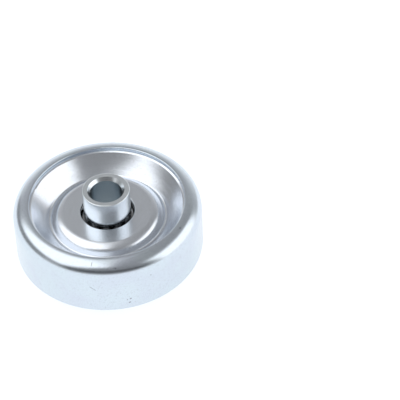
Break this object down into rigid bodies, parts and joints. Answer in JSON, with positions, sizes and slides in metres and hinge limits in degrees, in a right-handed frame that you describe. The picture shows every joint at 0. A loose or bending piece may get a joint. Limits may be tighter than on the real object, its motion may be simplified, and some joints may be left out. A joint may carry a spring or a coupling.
{
  "type": "conveyor skate wheel",
  "caption": "Pressed steel conveyor skate wheel, zinc plated, with a ball bearing round its tubular hub and a plain bore for an axle.",
  "frame": {"origin": "on the axle's axis, halfway between the two ends of the hub", "axes": "+Z along the axle, towards the side with the rolled lip, which faces up; +X and +Y across the wheel"},
  "size_m": [0.048, 0.048, 0.024],
  "materials": {
    "plated_sheet": "bright zinc plating with a faint blue tint, smooth, light draw marks",
    "hub_steel": "bright zinc plating on a turned tube",
    "race_steel": "hardened steel, lightly oiled",
    "ball_steel": "polished hardened steel"
  },
  "bodies": {
    "hub": {"hub": "hub_steel"},
    "wheel": {"tread_shell": "plated_sheet", "side_shell": "plated_sheet", "outer_race": "race_steel"},
    "balls": {"ball_1": "ball_steel", "ball_2": "ball_steel", "ball_3": "ball_steel", "ball_4": "ball_steel", "ball_5": "ball_steel", "ball_6": "ball_steel", "ball_7": "ball_steel", "ball_8": "ball_steel", "ball_9": "ball_steel"}
  },
  "joints": [
    {"name": "wheel_spin", "type": "hinge", "parent": "hub", "child": "wheel", "pos_m": [0, 0, 0], "axis": [0, 0, 1], "continuous": true},
    {"name": "ball_orbit", "type": "hinge", "parent": "hub", "child": "balls", "pos_m": [0, 0, 0], "axis": [0, 0, 1], "continuous": true}
  ],
  "couplings": [
    {"joint": "ball_orbit", "follows": "wheel_spin", "ratio": 0.6698}
  ]
}
